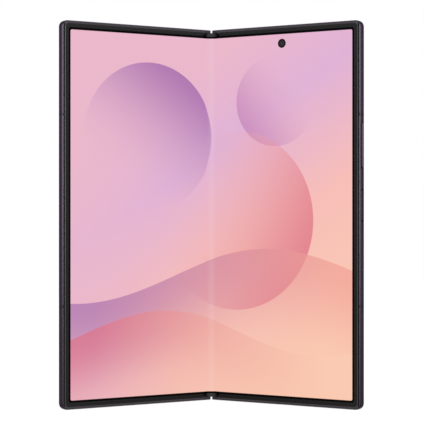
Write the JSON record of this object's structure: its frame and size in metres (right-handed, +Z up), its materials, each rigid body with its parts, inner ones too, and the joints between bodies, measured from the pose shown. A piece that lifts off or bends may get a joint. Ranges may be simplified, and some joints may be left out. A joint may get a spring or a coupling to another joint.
{
  "type": "foldable smartphone",
  "caption": "Book-style foldable smartphone, half open: two slim halves on a geared spine hinge, a folding inner screen with dark rim, side keys, card tray and rear cameras.",
  "frame": {"origin": "centre of the bounding box, on the surface that the phone stands on", "axes": "+Z up along the fold line; +X to the right as seen from the screen side; the screen faces -Y and the spine is at +Y"},
  "size_m": [0.1242, 0.041, 0.1584],
  "materials": {
    "anodised_frame": "satin",
    "spine_metal": "satin",
    "soft_rim": "matte",
    "antenna_plastic": "satin",
    "screen": "gloss",
    "dark_glass": "gloss",
    "back_glass_finish": "satin",
    "lens_glass": "polished",
    "flash_cover": "satin",
    "steel": "satin",
    "battery_pouch": "satin",
    "circuit_board": "satin",
    "shield_can": "satin",
    "copper": "satin",
    "black_module": "satin",
    "flex_film": "satin",
    "card_plastic": "satin",
    "magnet_metal": "satin"
  },
  "bodies": {
    "hinge": {"hinge_cover": "spine_metal", "hinge_base": "steel", "hinge_screws": "steel", "friction_discs": "steel", "fold_cap_top": "soft_rim", "fold_cap_bottom": "soft_rim", "display_fold_zone": "screen", "hinge_flex": "flex_film"},
    "left_idlers": {"left_idler_gears": "steel"},
    "right_idlers": {"right_idler_gears": "steel"},
    "left_half": {"left_frame": "anodised_frame", "left_antenna_bands": "antenna_plastic", "left_rim": "soft_rim", "left_display_panel": "screen", "left_gear_shafts": "steel", "left_hinge_arms": "steel", "left_arm_screws": "steel", "cover_glass": "dark_glass", "cover_display": "black_module", "cover_camera": "black_module", "left_battery": "battery_pouch", "left_board": "circuit_board", "left_board_cans": "shield_can", "left_board_screws": "steel", "top_speaker": "black_module", "sim_reader": "shield_can", "haptic_motor": "steel", "left_magnets": "magnet_metal"},
    "card_tray": {"sim_tray": "anodised_frame", "sim_card": "card_plastic"},
    "right_half": {"right_frame": "anodised_frame", "right_antenna_bands": "antenna_plastic", "right_rim": "soft_rim", "right_display_panel": "screen", "right_gear_shafts": "steel", "right_hinge_arms": "steel", "right_arm_screws": "steel", "back_glass": "back_glass_finish", "camera_island": "anodised_frame", "camera_rings": "anodised_frame", "camera_lenses": "lens_glass", "camera_modules": "black_module", "flash_lens": "flash_cover", "inner_camera": "black_module", "right_battery": "battery_pouch", "main_board": "circuit_board", "main_board_cans": "shield_can", "main_board_screws": "steel", "sub_board": "circuit_board", "usb_c_port": "steel", "bottom_speaker": "black_module", "charging_coil": "copper", "key_switches": "steel", "microphones": "shield_can", "right_magnets": "magnet_metal"},
    "volume_button": {"volume_rocker": "anodised_frame"},
    "power_button": {"power_key": "anodised_frame"}
  },
  "joints": [
    {"name": "left_fold", "type": "hinge", "parent": "hinge", "child": "left_half", "pos_m": [-0.00175, 0.01757, 0], "axis": [0, 0, 1], "range_deg": [-32.15, 57.85], "deforming": ["display_fold_zone", "hinge_flex"]},
    {"name": "right_fold", "type": "hinge", "parent": "hinge", "child": "right_half", "pos_m": [0.00175, 0.01757, 0], "axis": [0, 0, -1], "range_deg": [-32.15, 57.85]},
    {"name": "left_idler_spin", "type": "hinge", "parent": "hinge", "child": "left_idlers", "pos_m": [-0.00058, 0.01757, 0], "axis": [0, 0, 1], "range_deg": [-57.85, 32.15]},
    {"name": "right_idler_spin", "type": "hinge", "parent": "hinge", "child": "right_idlers", "pos_m": [0.00058, 0.01757, 0], "axis": [0, 0, 1], "range_deg": [-32.15, 57.85]},
    {"name": "volume_rock", "type": "hinge", "parent": "right_half", "child": "volume_button", "pos_m": [0.05995, -0.01828, 0.1075], "axis": [0.5321, 0.8467, 0], "range_deg": [-1.2, 1.2], "stiffness_Nm_per_rad": 0.5},
    {"name": "power_press", "type": "slide", "parent": "right_half", "child": "power_button", "axis": [-0.8467, 0.5321, 0], "range_m": [0, 0.00025], "stiffness_N_per_m": 3000},
    {"name": "tray_slide", "type": "slide", "parent": "left_half", "child": "card_tray", "axis": [0, 0, 1], "range_m": [0, 0.017]}
  ],
  "couplings": [
    {"joint": "right_fold", "follows": "left_fold", "ratio": 1},
    {"joint": "left_idler_spin", "follows": "left_fold", "ratio": -1},
    {"joint": "right_idler_spin", "follows": "left_fold", "ratio": 1}
  ]
}
